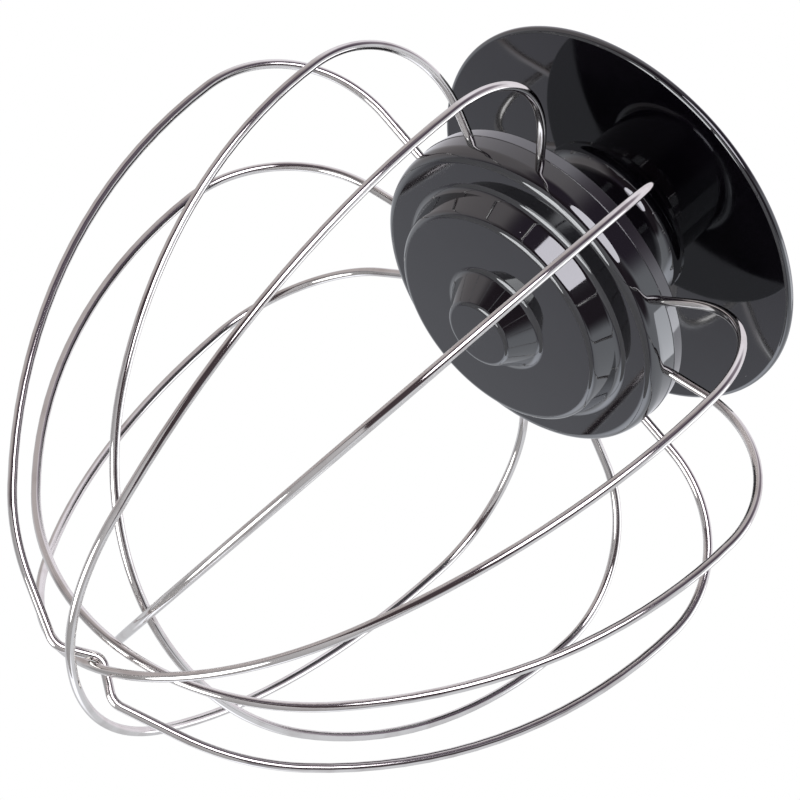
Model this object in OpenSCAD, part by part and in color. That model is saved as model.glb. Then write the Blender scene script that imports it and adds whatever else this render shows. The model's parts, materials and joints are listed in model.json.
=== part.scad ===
// Wire whisk for a stand mixer. Six nested loops of spring wire are clamped between the two
// mouldings of the hub. A neck carries a splash disc and the socket for the mixer's shaft.
// The origin is the centre of the socket's mouth, and Z points up, along the shaft.

/* [Wire cage] */
// Diameter of the spring wire
wire_d = 1.8; // [1.4:0.1:2.2]
// Mean diameter of the cage at its widest, between wire centres
cage_d = 136; // [126:1:146]
// Height of the cage, from the wire exits down to the lowest wire centre
cage_h = 125.2; // [116:0.1:134]
// Radius of the bend where a wire turns down from the hub
shoulder_r = 25.6; // [22:0.1:29]
// Distance from the axis to the corners of the notch that catches the crossing wire
notch_reach = 7.2; // [6.6:0.1:8]
// Straight run of wire on each side of the notch
notch_run = 12; // [10:0.5:14]
// Bend radius at the corners of the notch
notch_corner_r = 3.6; // [2.8:0.1:4.2]

/* [Hub] */
// Diameter of the flange
hub_d = 67; // [62:0.5:72]
// Height from the flange's lower face to the seam between the mouldings
rim_h = 6.3; // [5.8:0.1:8]
// Height of the flange above the seam
band_h = 3.1; // [3:0.1:5]
// Diameter of the flat face
face_d = 47.4; // [42:0.2:50]
// Height of the step between the face and the flange
step_h = 6; // [4.5:0.1:7]
// How far the step's wall spreads from the face to the flange
step_flare = 1.9; // [1.5:0.1:4]
// Diameter of the nose at its tip
nose_tip_d = 14.3; // [12.5:0.1:16]
// Diameter of the nose at the face
nose_base_d = 21.8; // [19:0.2:24]
// Height of the nose
nose_h = 5.6; // [4:0.1:7]
// Thickness of the moulded walls
wall = 2.4; // [2:0.1:3]

/* [Neck and splash disc] */
// Diameter of the neck
neck_d = 28; // [24:0.5:30]
// Length of the neck between the hub and the disc
neck_h = 20.4; // [15:0.1:26]
// Diameter of the splash disc
disc_d = 86; // [76:0.5:94]
// Thickness of the splash disc
disc_t = 1.9; // [1.5:0.1:2.6]

/* [Drive socket] */
// Diameter of the bore for the mixer's shaft
shaft_d = 10; // [8:0.5:11]
// Depth of the bore
socket_depth = 30; // [24:0.5:36]
// Outer diameter of the steel socket
socket_d = 15; // [14:0.5:16]
// Outer diameter of the collar round the socket
collar_d = 20.5; // [19.5:0.5:23]
// Height of the collar above the disc
collar_h = 16; // [12:0.5:20]
// Width of the slot for the shaft's cross pin
slot_w = 3; // [2:0.1:3.2]
// Depth of the slot for the shaft's cross pin
slot_h = 7; // [5:0.5:9]

/* [Hidden] */
$fn = 96;
plastic = "#232127";
steel = "#c9c7c9";

// Clearances
fit_gap = 0.1;
wire_gap = 0.1;
catch_gap = 0.25;
hook_slack = 0.5;
// Overrun of the cuts
over = 1;
// Difference in diameter between joined stretches of wire, and the length they share
join_slim = 0.01;
join_lap = 0.05;

// Roundings of the mouldings
face_edge_r = 1.5;
nose_edge_r = 1.1;
nose_foot_r = 0.9;
step_foot_r = 1.7;
neck_foot_r = 1.5;
collar_edge_r = 0.6;
socket_edge_r = 0.3;
arc_steps = 7;
// The flange's lower edge: a tight curve from the shelf, and a wide one into the wall
rim_edge_r = 2;
rim_curve_r = 4.5;
rim_draft = 0.85;
rim_draft_h = 2.4;
// The seam: the base stands back a little under the cover's rounded edge
seam_step = 0.12;
seam_edge_r = 0.15;
// The crown of the flange above the seam
band_draft = 0.25;
band_curve_r = 12;
band_edge_r = 0.5;
// The seat under the disc, hollowed out below
flare_r = 3.5;
flare_land = 0.2;
flare_t = 0.4;
// The disc's edge radii below and above, as shares of its thickness
disc_under_share = 0.47;
disc_over_share = 0.42;

// Held ends of the wires
wire_cover = 0.45;
root_r = 23.1;
root_bend_r = 2.4;
root_drop = 3.6;
spigot_h = 4;
spigot_t = 1.8;
// Direction of a loop's lowest point, seen from the centre of its pole bend
pole_end = -90;

// Levels, from the mouth of the socket downwards
disc_top = -collar_h;
disc_under = disc_top - disc_t;
cover_top = disc_under - neck_h;
seam = cover_top - band_h;
exit_level = seam - wire_cover - wire_d / 2;
shelf = seam - rim_h;
face = shelf - step_h;
nose_end = face - nose_h;

hub_r = hub_d / 2;
face_r = face_d / 2;
step_r = face_r + step_flare;
rim_r = hub_r - seam_step;
neck_r = neck_d / 2;
collar_r = collar_d / 2;
socket_r = socket_d / 2;
cavity_r = root_r - wall - wire_d / 2;
cage_r = cage_d / 2;

// Loops, one row each. The shares are the widest radius on either side and the sideways shift
// of the pole, as shares of the cage's radius, the depth as a share of the cage's height, and
// the pole's bend radius on either side as shares of the loop's half width there.
// side a, side b, shift, depth, bend a, bend b
hooked_shares = [1.018, 0.987, 0.058, 0.957, 0.664, 0.8];
outer_shares = [0.957, 0.94, 0.065, 1, 0.593, 0.764];
side_shares = [1.003, 0.984, -0.028, 0.864, 0.957, 0.916];
caught_shares = [1, 1.034, -0.029, 0.948, 0.834, 0.808];
middle_shares = [0.985, 0.982, -0.003, 0.913, 0.777, 0.766];
inner_shares = [0.954, 0.995, -0.016, 0.842, 0.85, 0.862];
// Turn of each loop about the axis, and its lean about the line through its two exits
hooked_turn = 0;
inner_turn = 30;
outer_turn = 60;
side_turn = 89.6;
caught_turn = 120;
middle_turn = 150;
hooked_lean = 3.4;
inner_lean = 1.7;
outer_lean = 0.6;
side_lean = 0.3;
caught_lean = -1.7;
middle_lean = -1.1;

function along(turn) = [cos(turn), sin(turn)];
function across(turn) = [-sin(turn), cos(turn)];

// Outlines: corners as [x, y, radius], returned as points with the corners rounded
function unit(v) = v / norm(v);
function wrapped(angle) = angle > 180 ? angle - 360 : angle < -180 ? angle + 360 : angle;
function corner(a, b, c, r) = r == 0 ? [b] :
    let (u = unit(a - b), v = unit(c - b), half = acos(u * v) / 2)
    let (centre = b + unit(u + v) * r / sin(half), p = b + u * r / tan(half), q = b + v * r / tan(half))
    let (start = atan2(p.y - centre.y, p.x - centre.x), stop = atan2(q.y - centre.y, q.x - centre.x))
    let (turn = wrapped(stop - start))
    [for (i = [0 : arc_steps]) centre + r * along(start + turn * i / arc_steps)];
function flat(p) = [p.x, p.y];
function rounded(corners) = let (n = len(corners)) [for (i = [0 : n - 1]) each corner(
    flat(corners[(i + n - 1) % n]), flat(corners[i]), flat(corners[(i + 1) % n]), corners[i].z)];

module turned(corners) {
    rotate_extrude() polygon(rounded(corners));
}

// A straight stretch of wire in the XZ plane. Where two stretches join, the one that is slimmer
// by a few microns reaches a little way into its neighbour.
module wire_run(from, to, slim = 0) {
    lap = min(slim, 1) * join_lap;
    translate([from.x, 0, from.y])
        rotate([0, atan2(to.x - from.x, to.y - from.y), 0])
            translate([0, 0, -lap])
                cylinder(d = wire_d - slim * join_slim, h = norm(to - from) + 2 * lap, $fn = 32);
}

// A bend in the XZ plane, about centre, from the angle start through the angle turn
module wire_bend(centre, radius, start, turn, slim = 1) {
    lap = min(slim, 1) * join_lap / radius * 180 / PI;
    translate([centre.x, 0, centre.y])
        rotate([90, 0, 0])
            rotate([0, 0, (turn < 0 ? start + turn : start) - lap])
                rotate_extrude(angle = abs(turn) + 2 * lap, $fn = 180)
                    translate([radius, 0]) circle(d = wire_d - slim * join_slim, $fn = 32);
}

// A bend that rounds the corner b between the runs from a and to c
module wire_corner(a, b, c, r) {
    u = unit(a - b);
    v = unit(c - b);
    half = acos(u * v) / 2;
    centre = b + unit(u + v) * r / sin(half);
    start = atan2((b + u * r / tan(half) - centre).y, (b + u * r / tan(half) - centre).x);
    stop = atan2((b + v * r / tan(half) - centre).y, (b + v * r / tan(half) - centre).x);
    wire_bend(centre, r, start, wrapped(stop - start));
}

// How far a rounded corner eats into the runs beside it
function reach(a, b, c, r) = r / tan(acos(unit(a - b) * unit(c - b)) / 2);

// Sizes of one side of a loop
function side_width(shares, s) = cage_r * shares[s == 1 ? 0 : 1];
function side_shift(shares, s) = s * cage_r * shares[2];
function loop_depth(shares) = cage_h * shares[3];
function pole_r(shares, s) = (side_width(shares, s) - side_shift(shares, s)) * shares[s == 1 ? 4 : 5];
function flank_r(shares, s) =
    let (w = side_width(shares, s) - side_shift(shares, s), h = loop_depth(shares) - shoulder_r)
    (w * w + h * h - 2 * h * pole_r(shares, s)) / (2 * (w - pole_r(shares, s)));
function flank_centre(shares, s) = [side_width(shares, s) - flank_r(shares, s), -shoulder_r];
function pole_centre(shares, s) = [side_shift(shares, s), pole_r(shares, s) - loop_depth(shares)];
function flank_turn(shares, s) =
    let (d = pole_centre(shares, s) - flank_centre(shares, s)) atan2(d.y, d.x);

// One side of a loop: held end, run out of the hub, shoulder, flank and pole.
// The pole bend stops short of the lowest point by the angle stop_short.
module half_loop(shares, s, stop_short = 0) {
    wide = side_width(shares, s);
    wire_run([root_r, -root_drop], [root_r, -root_bend_r]);
    wire_bend([root_r + root_bend_r, -root_bend_r], root_bend_r, 180, -90);
    wire_run([root_r + root_bend_r, 0], [wide - shoulder_r, 0]);
    wire_bend([wide - shoulder_r, -shoulder_r], shoulder_r, 90, -90);
    wire_bend(flank_centre(shares, s), flank_r(shares, s), 0, flank_turn(shares, s), 0);
    wire_bend(pole_centre(shares, s), pole_r(shares, s), flank_turn(shares, s),
        pole_end + stop_short - flank_turn(shares, s), s == 1 ? 1 : 2);
}

// Places a loop: leaning about the line through its exits, and turned about the axis
module placed(turn, lean) {
    translate([0, 0, exit_level]) rotate([0, 0, turn]) rotate([-lean, 0, 0]) children();
}

module loop(shares, turn, lean) {
    color(steel) placed(turn, lean) {
        half_loop(shares, 1);
        mirror([1, 0, 0]) half_loop(shares, -1);
    }
}

// The hooked loop crosses over the caught one at its pole. The crossing is found in the hooked
// loop's own plane, from the two poles' places and leans.
caught_depth = loop_depth(caught_shares);
caught_pole = cage_r * caught_shares[2] * along(caught_turn)
    - caught_depth * sin(caught_lean) * across(caught_turn);
hook_top = -caught_depth + wire_d + catch_gap;
hook_y = -caught_depth * sin(hooked_lean);
hook_x = caught_pole.x + along(caught_turn).x * (hook_y - caught_pole.y) / along(caught_turn).y;
hook_r = wire_d + catch_gap + hook_slack;

// Where the pole bend ends on side s, and the corner that its straight run leads to
function notch_angle(s) = asin((notch_reach + notch_run - side_shift(hooked_shares, s)) / pole_r(hooked_shares, s));
function notch_start(s) = pole_centre(hooked_shares, s)
    + pole_r(hooked_shares, s) * [sin(notch_angle(s)), -cos(notch_angle(s))];
function notch_corner(s) = notch_start(s) - notch_run * [1, tan(notch_angle(s))];
function mirrored(p, s) = [s * p.x, p.y];

module notch() {
    start_a = notch_start(1);
    start_b = mirrored(notch_start(-1), -1);
    low_a = notch_corner(1);
    low_b = mirrored(notch_corner(-1), -1);
    slope = acos(unit(low_a - [hook_x, hook_top]) * unit(low_b - [hook_x, hook_top])) / 2;
    peak = [hook_x, hook_top + hook_r * (1 / sin(slope) - 1)];
    into_a = reach(start_a, low_a, peak, notch_corner_r);
    into_b = reach(peak, low_b, start_b, notch_corner_r);
    into_peak = reach(low_a, peak, low_b, hook_r);
    wire_run(start_a, low_a + unit(start_a - low_a) * into_a);
    wire_corner(start_a, low_a, peak, notch_corner_r);
    wire_run(low_a + unit(peak - low_a) * into_a, peak + unit(low_a - peak) * into_peak);
    wire_corner(low_a, peak, low_b, hook_r);
    wire_run(peak + unit(low_b - peak) * into_peak, low_b + unit(peak - low_b) * into_b);
    wire_corner(peak, low_b, start_b, notch_corner_r);
    wire_run(low_b + unit(start_b - low_b) * into_b, start_b);
}

module wire_hooked() {
    color(steel) placed(hooked_turn, hooked_lean) {
        half_loop(hooked_shares, 1, notch_angle(1));
        mirror([1, 0, 0]) half_loop(hooked_shares, -1, notch_angle(-1));
        notch();
    }
}

module wire_outer() {
    loop(outer_shares, outer_turn, outer_lean);
}

module wire_side() {
    loop(side_shares, side_turn, side_lean);
}

module wire_caught() {
    loop(caught_shares, caught_turn, caught_lean);
}

module wire_middle() {
    loop(middle_shares, middle_turn, middle_lean);
}

module wire_inner() {
    loop(inner_shares, inner_turn, inner_lean);
}

// Room for the two held ends of a loop: a round-bottomed groove open to the seam, and a pocket
module wire_seats(turn, lean) {
    seat_d = wire_d + 2 * wire_gap;
    translate([0, 0, exit_level]) rotate([0, 0, turn]) for (s = [0, 180]) rotate([0, 0, s]) {
        translate([root_r, 0, 0]) rotate([0, 90, 0]) cylinder(d = seat_d, h = hub_r);
        translate([root_r, -seat_d / 2, 0]) cube([hub_r, seat_d, seam - exit_level + over]);
    }
    placed(turn, lean) for (s = [0, 180]) rotate([0, 0, s]) {
        translate([root_r, 0, -root_drop - wire_gap])
            cylinder(d = seat_d + wire_gap, h = root_drop + seam - exit_level + over);
        translate([root_r, -seat_d / 2 - wire_gap, -root_bend_r])
            cube([root_bend_r, seat_d + 2 * wire_gap, root_bend_r]);
    }
}

// Lower moulding: nose, face, step and the part of the flange that the wires leave through
module hub_base() {
    color(plastic) difference() {
        turned([
            [0, nose_end, 0], [nose_tip_d / 2, nose_end, nose_edge_r],
            [nose_base_d / 2, face, nose_foot_r], [face_r, face, face_edge_r],
            [step_r, shelf, step_foot_r], [rim_r - rim_draft, shelf, rim_edge_r],
            [rim_r, shelf + rim_draft_h, rim_curve_r], [rim_r, seam, 0],
            [cavity_r, seam, 0], [cavity_r, face + wall, 0],
            [nose_base_d / 2 - wall, face + wall, 0],
            [nose_tip_d / 2 - wall, nose_end + wall, 0], [0, nose_end + wall, 0]]);
        wire_seats(hooked_turn, hooked_lean);
        wire_seats(inner_turn, inner_lean);
        wire_seats(outer_turn, outer_lean);
        wire_seats(side_turn, side_lean);
        wire_seats(caught_turn, caught_lean);
        wire_seats(middle_turn, middle_lean);
    }
}

// Upper moulding: top of the flange, spigot, neck and the collar round the socket
module hub_cover() {
    spigot_r = cavity_r - fit_gap;
    socket_floor = -socket_depth - wall;
    seat_r = neck_r + flare_r + flare_land;
    color(plastic) turned([
        [socket_r, 0, 0], [collar_r, 0, collar_edge_r],
        [collar_r, disc_under, 0], [seat_r, disc_under, 0], [seat_r, disc_under - flare_t, 0],
        [neck_r, disc_under - flare_t, flare_r], [neck_r, cover_top, neck_foot_r],
        [hub_r - band_draft, cover_top, band_edge_r], [hub_r, seam + band_h / 2, band_curve_r],
        [hub_r, seam, seam_edge_r],
        [spigot_r, seam, 0], [spigot_r, seam - spigot_h, 0],
        [spigot_r - spigot_t, seam - spigot_h, 0], [spigot_r - spigot_t, cover_top - wall, 0],
        [neck_r - wall, cover_top - wall, 0], [neck_r - wall, socket_floor - wall, 0],
        [0, socket_floor - wall, 0], [0, -socket_depth, 0],
        [socket_r, -socket_depth, 0]]);
}

// Flat disc that keeps splashes off the shaft, seated on the neck
module splash_disc() {
    hole_r = collar_r + fit_gap;
    disc_r = disc_d / 2;
    color(plastic) turned([
        [hole_r, disc_under, 0], [disc_r, disc_under, disc_t * disc_under_share],
        [disc_r, disc_top, disc_t * disc_over_share], [hole_r, disc_top, 0]]);
}

// Steel socket for the mixer's shaft, slotted for its cross pin
module drive_socket() {
    color(steel) difference() {
        turned([
            [shaft_d / 2, -socket_depth, 0], [socket_r, -socket_depth, 0],
            [socket_r, 0, socket_edge_r], [shaft_d / 2, 0, socket_edge_r]]);
        translate([-socket_d / 2 - over, -slot_w / 2, -slot_h])
            cube([socket_d + 2 * over, slot_w, slot_h + over]);
    }
}

hub_base();
hub_cover();
splash_disc();
drive_socket();
wire_hooked();
wire_outer();
wire_side();
wire_caught();
wire_middle();
wire_inner();
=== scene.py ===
import json
import math
import bpy
from mathutils import Matrix, Vector


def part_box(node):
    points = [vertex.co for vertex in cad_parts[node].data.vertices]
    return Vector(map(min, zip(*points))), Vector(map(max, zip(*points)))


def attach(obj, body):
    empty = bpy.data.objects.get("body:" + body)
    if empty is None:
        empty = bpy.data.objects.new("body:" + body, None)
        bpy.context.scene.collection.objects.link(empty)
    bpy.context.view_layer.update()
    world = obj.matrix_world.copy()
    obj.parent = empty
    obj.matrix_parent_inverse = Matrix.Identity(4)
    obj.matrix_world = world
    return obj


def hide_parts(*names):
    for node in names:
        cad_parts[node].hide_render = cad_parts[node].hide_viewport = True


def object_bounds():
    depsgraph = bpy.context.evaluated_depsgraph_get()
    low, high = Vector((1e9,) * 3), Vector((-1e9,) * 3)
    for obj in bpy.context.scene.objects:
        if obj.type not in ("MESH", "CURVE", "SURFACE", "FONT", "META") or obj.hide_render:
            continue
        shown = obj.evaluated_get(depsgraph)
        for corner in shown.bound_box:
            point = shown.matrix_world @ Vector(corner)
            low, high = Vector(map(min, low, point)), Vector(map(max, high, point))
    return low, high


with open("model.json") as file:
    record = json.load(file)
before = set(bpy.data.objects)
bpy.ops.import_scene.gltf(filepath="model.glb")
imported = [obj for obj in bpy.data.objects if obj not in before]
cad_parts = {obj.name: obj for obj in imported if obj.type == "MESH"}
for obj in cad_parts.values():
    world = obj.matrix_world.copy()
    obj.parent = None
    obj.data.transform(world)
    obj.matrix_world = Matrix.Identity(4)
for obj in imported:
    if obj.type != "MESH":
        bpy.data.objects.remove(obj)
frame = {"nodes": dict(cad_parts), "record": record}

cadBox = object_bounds()
scene = bpy.context.scene
millimetre = 0.001


# camera, as the photograph was taken: from below and beside the whisk, rolled to one side
viewpoint = {
    "place": (0.0035, 0.5202, -0.3900),
    "aim": (0.0002, 0.0, -0.0818),
    "roll": 49.25,           # degrees, anticlockwise
    "lens": 145.2,           # mm on a 36 mm sensor
}

# surroundings that the glossy parts mirror, as colours of light
studio = {
    "background": (1.0, 1.0, 1.0),       # what the camera sees behind the whisk
    "paper": (0.88, 0.90, 0.95),         # the same paper, as the whisk mirrors it
    "fill": 0.42,                        # level of the light that comes from all round
}

# what stands round the paper: the direction of its middle, how far in degrees it is even and where it ends
roomPatches = {
    "right wall": {"bearing": 12, "height": 18, "even": 38, "ends": 84, "light": (0.63, 0.58, 0.585)},
    "light overhead": {"bearing": -40, "height": 84, "even": 36, "ends": 60, "light": (1.15, 1.11, 1.20)},
    "table": {"bearing": 0, "height": -90, "even": 44, "ends": 69, "light": (0.150, 0.135, 0.165)},
    "room": {"bearing": 84, "height": -36, "even": 36, "ends": 70, "light": (0.078, 0.058, 0.066)},
    "gap on the left": {"bearing": 134, "height": -4, "even": 12, "ends": 26, "light": (0.085, 0.068, 0.080)},
    "gap on the right": {"bearing": 55, "height": 10, "even": 8, "ends": 26, "light": (0.12, 0.095, 0.13)},
    "ceiling": {"bearing": 92, "height": 54, "even": 14, "ends": 36, "light": (0.30, 0.26, 0.31)},
    "flag": {"bearing": 96, "height": 30, "even": 14, "ends": 30, "light": (0.12, 0.095, 0.13)},
    "lit paper": {"bearing": -128, "height": -30, "even": 6, "ends": 30, "light": (1.75, 1.80, 1.95)},
}

softboxes = [
    {"name": "softboxFront", "bearing": 90, "height": 0, "away": 1.5, "size": (1.22, 0.92),
     "brightness": 5.0, "colour": (0.98, 0.94, 1.0)},
    {"name": "softboxSide", "bearing": 178, "height": 35, "away": 1.5, "size": (0.9, 0.7),
     "brightness": 1.7, "colour": (0.95, 0.96, 1.0)},
    {"name": "softboxLow", "bearing": -11, "height": -81, "away": 0.48, "size": (0.40, 0.32),
     "brightness": 5.0, "colour": (1.0, 1.0, 1.0)},
]

floorLook = {
    "level": -0.62, "size": 1.3,
    "colour": (0.86, 0.86, 0.87), "grain": 0.012, "fibreSize": 4 * millimetre,
    "roughness": 0.9, "shine": 0.1,
}


# shader helper: a socket that takes part in ordinary sums
class Socket:
    def __init__(self, tree, link):
        self.tree, self.link = tree, link

    def maths(self, operation, other):
        return addNode(self.tree, "ShaderNodeMath", {"operation": operation}, [self, other])[0]

    def __add__(self, other): return self.maths("ADD", other)
    def __mul__(self, other): return self.maths("MULTIPLY", other)
    def __gt__(self, other): return self.maths("GREATER_THAN", other)
    def __lt__(self, other): return self.maths("LESS_THAN", other)
    __radd__ = __add__

    def ramp(self, low, high):       # 0 below low, 1 above high, smooth between
        node = addNode(self.tree, "ShaderNodeMapRange", {"interpolation_type": "SMOOTHSTEP"},
                       {"Value": self, "From Min": low, "From Max": high})
        return node[0]


def addNode(tree, kind, settings=None, values=None):
    node = tree.nodes.new(kind)
    for key, value in (settings or {}).items():
        setattr(node, key, value)
    entries = enumerate(values) if isinstance(values, (list, tuple)) else (values or {}).items()
    for key, value in entries:
        if isinstance(value, Socket):
            tree.links.new(value.link, node.inputs[key])
        else:
            node.inputs[key].default_value = value
    return [Socket(tree, out) for out in node.outputs if out.enabled]


def mixColour(tree, factor, first, second):
    node = tree.nodes.new("ShaderNodeMix")
    node.data_type = "RGBA"
    for key, value in ((0, factor), (6, first), (7, second)):
        if isinstance(value, Socket):
            tree.links.new(value.link, node.inputs[key])
        else:
            node.inputs[key].default_value = value if key == 0 else (*value, 1.0)
    return Socket(tree, node.outputs[2])


def newMaterial(name):
    material = bpy.data.materials.new(name)
    material.use_nodes = True
    tree = material.node_tree
    shader = tree.nodes["Principled BSDF"]
    place = addNode(tree, "ShaderNodeTexCoord")[3]
    return material, tree, shader, place


def feed(tree, shader, name, value):
    if isinstance(value, Socket):
        tree.links.new(value.link, shader.inputs[name])
    else:
        shader.inputs[name].default_value = value


def noise(tree, place, size, detail=2.0):
    values = {"Vector": place, "Scale": 1.0 / size, "Detail": detail}
    return addNode(tree, "ShaderNodeTexNoise", {}, values)[0]


def bump(tree, height, depth):
    return addNode(tree, "ShaderNodeBump", {}, {"Height": height, "Distance": depth, "Strength": 1.0})[0]


# glossy black moulding
plasticLook = {
    "colour": (0.0020, 0.0015, 0.0028),
    "cloudy": (0.0034, 0.0027, 0.0042),
    "index": 2.0,            # refractive index of the gloss
    "tint": (0.95, 0.975, 1.0),      # the gloss mirrors a little cooler than the light
    "gloss": 0.035,          # roughness of the polished skin
    "haze": 0.03,            # how much rougher it gets in patches
    "patchSize": 14 * millimetre,
    "patchEdge": (0.42, 0.66),
    "dustEvery": 5.5 * millimetre,
    "dustSize": 0.16 * millimetre,
    "dustSpared": 0.45,      # share of the places that stay clean
    "dustRoughness": 0.5,
    "dustColour": (0.42, 0.42, 0.44),
    "ripple": 0.004 * millimetre,
    "rippleSize": 9 * millimetre,
}


def blackPlastic():
    look = plasticLook
    material, tree, shader, place = newMaterial("glossyBlackPlastic")
    patches = noise(tree, place, look["patchSize"], 3.0).ramp(*look["patchEdge"])
    cells = addNode(tree, "ShaderNodeTexVoronoi", {"feature": "F1"},
                    {"Vector": place, "Scale": 1.0 / look["dustEvery"], "Randomness": 1.0})
    reach = look["dustSize"] / look["dustEvery"]
    chance = addNode(tree, "ShaderNodeSeparateColor", {}, {"Color": cells[1]})[0]
    dust = (cells[0] < reach) * (chance > look["dustSpared"])
    skin = mixColour(tree, patches, look["colour"], look["cloudy"])
    feed(tree, shader, "Base Color", mixColour(tree, dust, skin, look["dustColour"]))
    feed(tree, shader, "Roughness", look["gloss"] + patches * look["haze"] + dust * look["dustRoughness"])
    ripples = noise(tree, place, look["rippleSize"], 1.0)
    feed(tree, shader, "Normal", bump(tree, ripples, look["ripple"]))
    shader.inputs["IOR"].default_value = look["index"]
    shader.inputs["Specular Tint"].default_value = (*look["tint"], 1.0)
    return material


# polished spring wire
wireLook = {
    "colour": (0.65, 0.635, 0.62),
    "dull": (0.54, 0.515, 0.50),
    "grazing": (0.79, 0.78, 0.77),     # keeps the edges grey against white paper
    "gloss": 0.06,
    "drawnMarks": 0.02,                # how much rougher the marks of drawing are
    "markSize": 0.25 * millimetre,
    "stainSize": 6 * millimetre,
    "stainEdge": (0.45, 0.75),
}


def polishedWire():
    look = wireLook
    material, tree, shader, place = newMaterial("polishedSpringWire")
    stains = noise(tree, place, look["stainSize"], 4.0).ramp(*look["stainEdge"])
    marks = noise(tree, place, look["markSize"])
    feed(tree, shader, "Base Color", mixColour(tree, stains, look["colour"], look["dull"]))
    feed(tree, shader, "Roughness", look["gloss"] + marks * look["drawnMarks"])
    shader.inputs["Specular Tint"].default_value = (*look["grazing"], 1.0)
    shader.inputs["Metallic"].default_value = 1.0
    return material


# turned steel of the drive socket
socketLook = {
    "colour": (0.58, 0.57, 0.56),
    "gloss": 0.24,
    "ringRoughness": 0.12,
    "ringSpacing": 0.35 * millimetre / 0.3,      # the wave texture's scale is 0.3 for rings one unit apart
    "ringDepth": 0.006 * millimetre,
    "ringWander": 1.5,
}


def turnedSteel():
    look = socketLook
    material, tree, shader, place = newMaterial("turnedSocketSteel")
    values = {"Vector": place, "Scale": 1 / look["ringSpacing"], "Detail": 2.0, "Distortion": look["ringWander"]}
    rings = addNode(tree, "ShaderNodeTexWave", {"wave_type": "RINGS", "rings_direction": "Z"}, values)[1]
    feed(tree, shader, "Base Color", (*look["colour"], 1.0))
    feed(tree, shader, "Roughness", look["gloss"] + rings * look["ringRoughness"])
    feed(tree, shader, "Normal", bump(tree, rings, look["ringDepth"]))
    shader.inputs["Metallic"].default_value = 1.0
    return material


def dress(finishes):                 # one material for each of the record's slots
    for part in frame["record"]["subparts"]:
        mesh = frame["nodes"][part["node"]].data
        mesh.materials.clear()
        mesh.materials.append(finishes[part["material_slot"]])


# selects one object alone and makes it the active one
def pick(thing):
    bpy.ops.object.select_all(action="DESELECT")
    thing.select_set(True)
    bpy.context.view_layer.objects.active = thing


# radius, lowest and highest level of a CAD node, in millimetres
def span(node):
    low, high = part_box(node)
    return high[0] / millimetre, low[2] / millimetre, high[2] / millimetre


# outline of a turned piece: corners are (radius, level, rounding), the answer is a list of points
def roundCorners(corners, finest=4.0):
    points = []
    for index, (x, z, radius) in enumerate(corners):
        corner = Vector((x, z))
        if radius == 0:
            points.append(corner)
            continue
        toLast = (Vector(corners[index - 1][:2]) - corner).normalized()
        toNext = (Vector(corners[index + 1][:2]) - corner).normalized()
        half = toLast.angle(toNext) / 2
        centre = corner + (toLast + toNext).normalized() * radius / math.sin(half)
        first = corner + toLast * radius / math.tan(half) - centre
        turn = math.pi - 2 * half
        if first.x * toLast.y - first.y * toLast.x > 0:
            turn = -turn
        steps = max(3, math.ceil(abs(math.degrees(turn)) / finest))
        for step in range(steps + 1):
            points.append(centre + Matrix.Rotation(turn * step / steps, 2) @ first)
    return points


# draws the outline point by point from one vertex and spins it about the axis
def turnPiece(name, corners, closed=False, steps=180):
    outline = [Vector((p.x, 0, p.y)) * millimetre for p in roundCorners(corners)]
    bpy.ops.object.select_all(action="DESELECT")
    bpy.ops.mesh.primitive_plane_add(size=millimetre, location=(0, 0, 0))
    piece = bpy.context.object
    piece.name = piece.data.name = name
    bpy.ops.object.mode_set(mode="EDIT")
    bpy.ops.mesh.select_all(action="SELECT")
    bpy.ops.mesh.merge(type="CENTER")
    bpy.ops.transform.translate(value=outline[0])
    for here, there in zip(outline, outline[1:]):
        bpy.ops.mesh.extrude_region_move(TRANSFORM_OT_translate={"value": there - here})
    if closed:
        bpy.ops.mesh.extrude_region_move(TRANSFORM_OT_translate={"value": outline[0] - outline[-1]})
    bpy.ops.mesh.select_all(action="SELECT")
    bpy.ops.mesh.spin(steps=steps, angle=2 * math.pi, center=(0, 0, 0), axis=(0, 0, 1))
    bpy.ops.mesh.select_all(action="SELECT")
    bpy.ops.mesh.remove_doubles(threshold=0.001 * millimetre)
    bpy.ops.mesh.normals_make_consistent(inside=False)
    bpy.ops.object.mode_set(mode="OBJECT")
    return piece


# smooth shading in which the large faces stay flat right up to their edges
def polish(piece, angle=35):
    pick(piece)
    bpy.ops.object.shade_smooth_by_angle(angle=math.radians(angle))
    bpy.ops.object.modifier_add(type="WEIGHTED_NORMAL")
    piece.modifiers[-1].keep_sharp = True
    bpy.ops.object.modifier_apply(modifier=piece.modifiers[-1].name)


def takePlaceOf(piece, node):
    part = next(part for part in frame["record"]["subparts"] if part["node"] == node)
    piece.data.materials.clear()
    piece.data.materials.append(finishes[part["material_slot"]])
    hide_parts(node)
    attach(piece, "root")


# lower moulding of the hub, in millimetres
baseShape = {
    "noseTip": 7.15, "noseFoot": 10.9, "noseTipRound": 1.2, "noseFootRound": 1.7, "noseHeight": 5.6,
    "face": 23.7, "faceRound": 1.5,
    "stepFoot": 25.6, "stepFootRound": 1.7, "stepHeight": 6.0,
    "rimRound": 2.0, "rimCurve": 4.5, "rimDraft": 0.85, "rimDraftHeight": 2.4,
    "wall": 2.4, "cavity": 19.8,
    "seat": 1.0,             # radius of the groove that a wire leaves through
    "seatDrop": 1.35,        # depth of the wires' centres below the seam
    "seatStart": 22.0, "seatEnd": 36.0, "seatSides": 32,
    "seatTurns": (0, 30, 60, 89.6, 120, 150),
}


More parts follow.
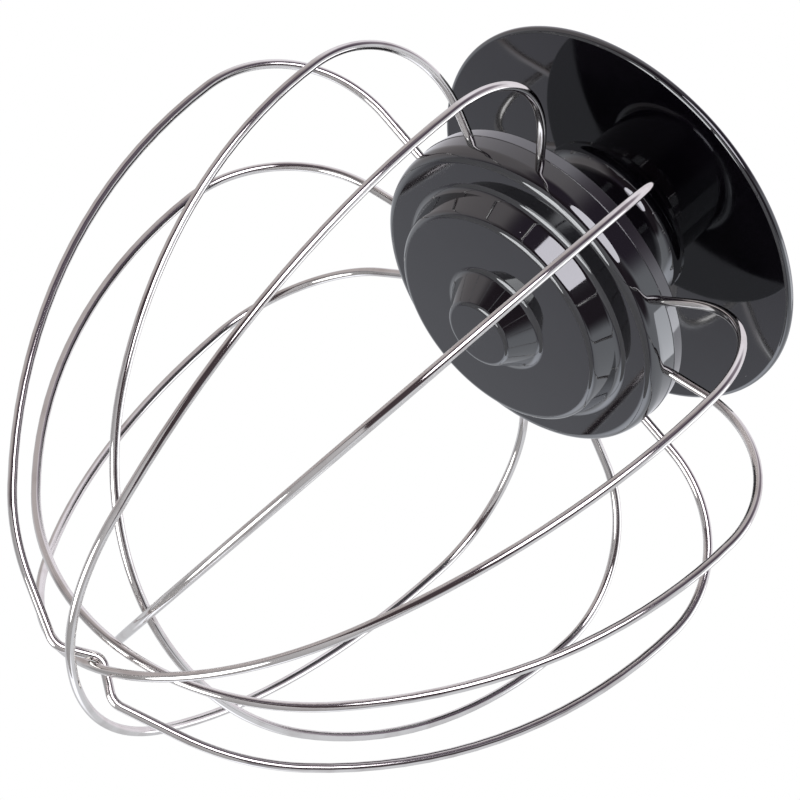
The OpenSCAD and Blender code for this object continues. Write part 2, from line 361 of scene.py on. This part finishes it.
def makeHubBase():
    shape = baseShape
    rim, tip, seam = span("hub_base")
    face = tip + shape["noseHeight"]
    shelf = face + shape["stepHeight"]
    inside = face + shape["wall"]
    base = turnPiece("hubBase", [
        (0, tip, 0), (shape["noseTip"], tip, shape["noseTipRound"]),
        (shape["noseFoot"], face, shape["noseFootRound"]), (shape["face"], face, shape["faceRound"]),
        (shape["stepFoot"], shelf, shape["stepFootRound"]),
        (rim - shape["rimDraft"], shelf, shape["rimRound"]),
        (rim, shelf + shape["rimDraftHeight"], shape["rimCurve"]), (rim, seam, 0),
        (shape["cavity"], seam, 0), (shape["cavity"], inside, 0),
        (shape["noseFoot"] - shape["wall"], inside, 0),
        (shape["noseTip"] - shape["wall"], tip + shape["wall"], 0), (0, tip + shape["wall"], 0)])
    cutSeats(base, seam)
    polish(base)
    takePlaceOf(base, "hub_base")


# cuts the round-bottomed grooves, open to the seam, that the wires leave through
def cutSeats(base, seam):
    shape = baseShape
    length = (shape["seatEnd"] - shape["seatStart"]) * millimetre
    middle = (shape["seatEnd"] + shape["seatStart"]) / 2 * millimetre
    level = (seam - shape["seatDrop"]) * millimetre
    cutters = []
    for turn in shape["seatTurns"]:
        for bearing in (math.radians(turn), math.radians(turn + 180)):
            place = (middle * math.cos(bearing), middle * math.sin(bearing), level)
            bpy.ops.object.select_all(action="DESELECT")
            bpy.ops.mesh.primitive_cylinder_add(
                vertices=shape["seatSides"], radius=shape["seat"] * millimetre, depth=length,
                location=place, rotation=(0, math.pi / 2, bearing))
            cutter = bpy.context.object
            bpy.ops.object.transform_apply(location=True, rotation=True, scale=True)
            for vertex in cutter.data.vertices:
                vertex.select = vertex.co.z > level + 0.01 * millimetre
            bpy.ops.object.mode_set(mode="EDIT")
            bpy.ops.transform.translate(value=(0, 0, 2 * shape["seatDrop"] * millimetre))
            bpy.ops.object.mode_set(mode="OBJECT")
            cutters.append(cutter)
    pick(cutters[0])
    for cutter in cutters:
        cutter.select_set(True)
    bpy.ops.object.join()
    pick(base)
    bpy.ops.object.modifier_add(type="BOOLEAN")
    base.modifiers[-1].object = cutters[0]
    base.modifiers[-1].solver = "EXACT"
    bpy.ops.object.modifier_apply(modifier=base.modifiers[-1].name)
    pick(cutters[0])
    bpy.ops.object.delete()


# upper moulding of the hub with neck and collar, in millimetres
coverShape = {
    "collar": 10.25, "collarRound": 0.6,
    "seat": 17.7, "seatEdge": 0.4, "hollow": 3.5,    # seat under the disc, hollowed out below
    "neck": 14.0, "neckFootRound": 1.5,
    "stripHeight": 3.1, "crown": 0.42, "crownEdge": 0.5, "seamEdge": 0.15,
    "spigot": 19.7, "spigotWall": 1.8, "spigotDrop": 4.0, "wall": 2.4,
    "bore": 7.5, "boreDepth": 30.0,
}


def makeHubCover():
    shape = coverShape
    flange, low, mouth = span("hub_cover")
    seam = span("hub_base")[2]
    top = seam + shape["stripHeight"]
    under = span("splash_disc")[1]
    floor = mouth - shape["boreDepth"]
    spigotEnd = seam - shape["spigotDrop"]
    ceiling = top - shape["wall"]
    inside = shape["spigot"] - shape["spigotWall"]
    hollow, bottom = shape["neck"] - shape["wall"], floor - 2 * shape["wall"]
    cover = turnPiece("hubCover", [
        (0, floor, 0), (shape["bore"], floor, 0), (shape["bore"], mouth, 0),
        (shape["collar"], mouth, shape["collarRound"]), (shape["collar"], under, 0),
        (shape["seat"], under, 0), (shape["seat"], under - shape["seatEdge"], 0),
        (shape["neck"], under - shape["seatEdge"], shape["hollow"]),
        (shape["neck"], top, shape["neckFootRound"]),
        (flange - shape["crown"], top, shape["crownEdge"]), (flange, seam, shape["seamEdge"]),
        (shape["spigot"], seam, 0), (shape["spigot"], spigotEnd, 0),
        (inside, spigotEnd, 0), (inside, ceiling, 0),
        (hollow, ceiling, 0), (hollow, bottom, 0), (0, bottom, 0)])
    polish(cover)
    takePlaceOf(cover, "hub_cover")


# flat splash disc, in millimetres
discShape = {"hole": 10.35, "underRound": 0.893, "overRound": 0.798}


def makeSplashDisc():
    shape = discShape
    rim, under, over = span("splash_disc")
    disc = turnPiece("splashDisc", [
        (shape["hole"], under, 0), (rim, under, shape["underRound"]),
        (rim, over, shape["overRound"]), (shape["hole"], over, 0)], closed=True, steps=240)
    polish(disc)
    takePlaceOf(disc, "splash_disc")


# the six loops of spring wire, in millimetres and degrees
wireShape = {
    "thick": 1.8, "cage": 68.0, "height": 125.2, "shoulder": 25.6,
    "root": 23.1, "rootBend": 2.4, "rootDrop": 3.6,      # ends held in the hub
    "exitDrop": 1.35,                                    # exits below the seam
    "notchReach": 7.2, "notchRun": 12.0, "notchCorner": 3.6, "catchGap": 0.25, "hookSlack": 0.5,
    "finest": 2.5,                                       # degrees of bend from one ring to the next
    "rounding": 6,                                       # fineness of the round section
}

# widest radius on either side and sideways shift of the pole as shares of the cage, depth as a share
# of its height, and bend of the pole on either side as shares of the loop's half width there
loops = {
    "hooked": {"shares": (1.018, 0.987, 0.058, 0.957, 0.664, 0.8), "turn": 0, "lean": 3.4},
    "outer": {"shares": (0.957, 0.94, 0.065, 1, 0.593, 0.764), "turn": 60, "lean": 0.6},
    "side": {"shares": (1.003, 0.984, -0.028, 0.864, 0.957, 0.916), "turn": 89.6, "lean": 0.3},
    "caught": {"shares": (1, 1.034, -0.029, 0.948, 0.834, 0.808), "turn": 120, "lean": -1.7},
    "middle": {"shares": (0.985, 0.982, -0.003, 0.913, 0.777, 0.766), "turn": 150, "lean": -1.1},
    "inner": {"shares": (0.954, 0.995, -0.016, 0.842, 0.85, 0.862), "turn": 30, "lean": 1.7},
}


def bend(centre, radius, start, turn):
    steps = max(2, math.ceil(abs(turn) / wireShape["finest"]))
    angles = [math.radians(start + turn * step / steps) for step in range(steps + 1)]
    return [centre + Vector((math.cos(a), math.sin(a))) * radius for a in angles]


# sizes of one side of a loop: side is 1 or -1
def poleOf(shares, side):
    shape = wireShape
    width = shape["cage"] * shares[0 if side == 1 else 1]
    shift = side * shape["cage"] * shares[2]
    depth = shape["height"] * shares[3]
    pole = (width - shift) * shares[4 if side == 1 else 5]
    return width, pole, Vector((shift, pole - depth))


# half a loop in its own plane, from the held end to the lowest point, or to where the notch starts
def halfLoop(shares, side, stopShort=0.0):
    shape = wireShape
    width, pole, poleCentre = poleOf(shares, side)
    across, down = width - poleCentre.x, pole - poleCentre.y - shape["shoulder"]
    flank = (across ** 2 + down ** 2 - 2 * down * pole) / (2 * (across - pole))
    flankCentre = Vector((width - flank, -shape["shoulder"]))
    slope = poleCentre - flankCentre
    flankTurn = math.degrees(math.atan2(slope.y, slope.x))
    root, rootBend, shoulder = shape["root"], shape["rootBend"], shape["shoulder"]
    points = [Vector((root, -shape["rootDrop"]))]
    points += bend(Vector((root + rootBend, -rootBend)), rootBend, 180, -90)
    points += bend(Vector((width - shoulder, -shoulder)), shoulder, 90, -90)
    points += bend(flankCentre, flank, 0, flankTurn)[1:]
    points += bend(poleCentre, pole, flankTurn, -90 + stopShort - flankTurn)[1:]
    return [Vector((side * p.x, p.y)) for p in points]


# where the pole of the hooked loop ends on one side, in degrees from its lowest point
def notchAngle(side):
    shape = wireShape
    width, pole, poleCentre = poleOf(loops["hooked"]["shares"], side)
    return math.degrees(math.asin((shape["notchReach"] + shape["notchRun"] - poleCentre.x) / pole))


# the notch of the hooked loop, which passes over the caught loop where the two cross
def notchPoints(startA, startB):
    shape = wireShape
    hooked, caught = loops["hooked"], loops["caught"]
    turn, lean = math.radians(caught["turn"]), math.radians(caught["lean"])
    along, sideways = Vector((math.cos(turn), math.sin(turn))), Vector((-math.sin(turn), math.cos(turn)))
    depth = shape["height"] * caught["shares"][3]
    pole = shape["cage"] * caught["shares"][2] * along - depth * math.sin(lean) * sideways
    top = shape["thick"] + shape["catchGap"] - depth
    hookY = -depth * math.sin(math.radians(hooked["lean"]))
    hook = Vector((pole.x + along.x * (hookY - pole.y) / along.y, top))
    radius = shape["thick"] + shape["catchGap"] + shape["hookSlack"]
    lowA = startA - shape["notchRun"] * Vector((1, math.tan(math.radians(notchAngle(1)))))
    lowB = startB + shape["notchRun"] * Vector((1, -math.tan(math.radians(notchAngle(-1)))))
    slope = (lowA - hook).angle(lowB - hook) / 2
    peak = hook + Vector((0, radius * (1 / math.sin(slope) - 1)))
    return roundCorners([(*startA, 0), (*lowA, shape["notchCorner"]), (*peak, radius),
                         (*lowB, shape["notchCorner"]), (*startB, 0)], wireShape["finest"])


# a loop drawn as a curve with a round section, then made a mesh
def makeWire(loop):
    shape, look = wireShape, loops[loop]
    short = [notchAngle(side) if loop == "hooked" else 0 for side in (1, -1)]
    first, second = halfLoop(look["shares"], 1, short[0]), halfLoop(look["shares"], -1, short[1])
    between = notchPoints(first[-1], second[-1])[1:] if loop == "hooked" else second[-1:]
    path = first + between + second[-2::-1]
    curve = bpy.data.curves.new(loop + "Wire", "CURVE")
    curve.dimensions = "3D"
    curve.bevel_depth = shape["thick"] / 2 * millimetre
    curve.bevel_resolution = shape["rounding"]
    curve.use_fill_caps = True
    spline = curve.splines.new("POLY")
    spline.points.add(len(path) - 1)
    exitLevel = span("hub_base")[2] - shape["exitDrop"]
    turned = Matrix.Rotation(math.radians(look["turn"]), 4, "Z")
    leaning = Matrix.Rotation(math.radians(-look["lean"]), 4, "X")
    placed = Matrix.Translation((0, 0, exitLevel * millimetre)) @ turned @ leaning
    for point, p in zip(spline.points, path):
        point.co = (*(placed @ (Vector((p.x, 0, p.y)) * millimetre)), 1)
    piece = bpy.data.objects.new(loop + "Wire", curve)
    scene.collection.objects.link(piece)
    pick(piece)
    bpy.ops.object.convert(target="MESH")
    piece = bpy.context.object
    bpy.ops.object.shade_smooth_by_angle(angle=math.radians(50))
    takePlaceOf(piece, "wire_" + loop)


# the frame's own triangles, merged so that their reflections run unbroken
def mergedCopy(node, name, angle):
    piece = frame["nodes"][node].copy()
    piece.data = piece.data.copy()
    piece.name = piece.data.name = name
    scene.collection.objects.link(piece)
    pick(piece)
    bpy.ops.mesh.customdata_custom_splitnormals_clear()
    bpy.ops.object.mode_set(mode="EDIT")
    bpy.ops.mesh.select_all(action="SELECT")
    bpy.ops.mesh.remove_doubles(threshold=0.008 * millimetre)
    bpy.ops.object.mode_set(mode="OBJECT")
    bpy.ops.object.shade_smooth_by_angle(angle=math.radians(angle))
    takePlaceOf(piece, node)


# unit vector for a bearing, anticlockwise from +X, and a height above the horizon
def towards(bearing, height):
    raised = Matrix.Rotation(math.radians(-height), 3, "Y") @ Vector((1, 0, 0))
    return Matrix.Rotation(math.radians(bearing), 3, "Z") @ raised


def makeCamera():
    view = viewpoint
    data = bpy.data.cameras.new("photoCamera")
    camera = bpy.data.objects.new("photoCamera", data)
    scene.collection.objects.link(camera)
    aimed = (Vector(view["aim"]) - Vector(view["place"])).to_track_quat("-Z", "Y")
    turned = aimed.to_matrix().to_4x4() @ Matrix.Rotation(math.radians(view["roll"]), 4, "Z")
    camera.matrix_world = Matrix.Translation(view["place"]) @ turned
    data.lens = view["lens"]
    data.sensor_width = 36
    scene.camera = camera


def makeSoftbox(box):
    data = bpy.data.lights.new(box["name"], "AREA")
    data.shape = "ELLIPSE"
    data.size, data.size_y = box["size"]
    data.energy = box["brightness"] * math.pi * box["size"][0] * box["size"][1] * math.pi / 4
    data.color = box["colour"]
    lamp = bpy.data.objects.new(box["name"], data)
    scene.collection.objects.link(lamp)
    lamp.visible_camera = False
    direction = towards(box["bearing"], box["height"])
    middle = (Vector(cadBox[0]) + Vector(cadBox[1])) / 2
    spot = middle + direction * box["away"]
    lamp.matrix_world = Matrix.Translation(spot) @ direction.to_track_quat("Z", "Y").to_matrix().to_4x4()


def makeSurroundings():
    world = bpy.data.worlds.new("studio")
    scene.world = world
    world.use_nodes = True
    tree = world.node_tree
    tree.nodes.clear()
    path = addNode(tree, "ShaderNodeLightPath")
    direction = addNode(tree, "ShaderNodeTexCoord")[0]
    mirrored = studio["paper"]
    for patch in roomPatches.values():
        values = [direction, tuple(towards(patch["bearing"], patch["height"]))]
        nearness = addNode(tree, "ShaderNodeVectorMath", {"operation": "DOT_PRODUCT"}, values)[0]
        edge, even = (math.cos(math.radians(patch[side])) for side in ("ends", "even"))
        mirrored = mixColour(tree, nearness.ramp(edge, even), mirrored, patch["light"])
    seen = mixColour(tree, path[0], mirrored, studio["background"])
    shine = path[0] + path[3] + path[6]
    fill = addNode(tree, "ShaderNodeBackground", {}, {"Color": (1, 1, 1, 1), "Strength": studio["fill"]})[0]
    show = addNode(tree, "ShaderNodeBackground", {}, {"Color": seen, "Strength": 1.0})[0]
    blend = addNode(tree, "ShaderNodeMixShader", {}, [shine > 0.5, fill, show])[0]
    addNode(tree, "ShaderNodeOutputWorld", {}, {"Surface": blend})


def makeFloor():
    look = floorLook
    bpy.ops.object.select_all(action="DESELECT")
    bpy.ops.mesh.primitive_plane_add(size=look["size"], location=(0, 0, look["level"]))
    floor = bpy.context.object
    floor.name = "floor"
    material, tree, shader, place = newMaterial("palePaper")
    fibres = noise(tree, place, look["fibreSize"], 3.0)
    darker = tuple(c - look["grain"] for c in look["colour"])
    feed(tree, shader, "Base Color", mixColour(tree, fibres, darker, look["colour"]))
    shader.inputs["Roughness"].default_value = look["roughness"]
    shader.inputs["Specular IOR Level"].default_value = look["shine"]
    floor.data.materials.append(material)


makeCamera()
print("camera placed")

finishes = {"hub_plastic": blackPlastic(), "spring_wire": polishedWire(), "socket_steel": turnedSteel()}
dress(finishes)
print("frame dressed")

makeHubBase()
makeHubCover()
makeSplashDisc()
print("mouldings turned")

for loop in loops:
    makeWire(loop)
print("wires bent")

mergedCopy("drive_socket", "driveSocket", 35)

makeSurroundings()
for box in softboxes:
    makeSoftbox(box)
makeFloor()
print("studio lit")

scene.view_settings.view_transform = "Standard"
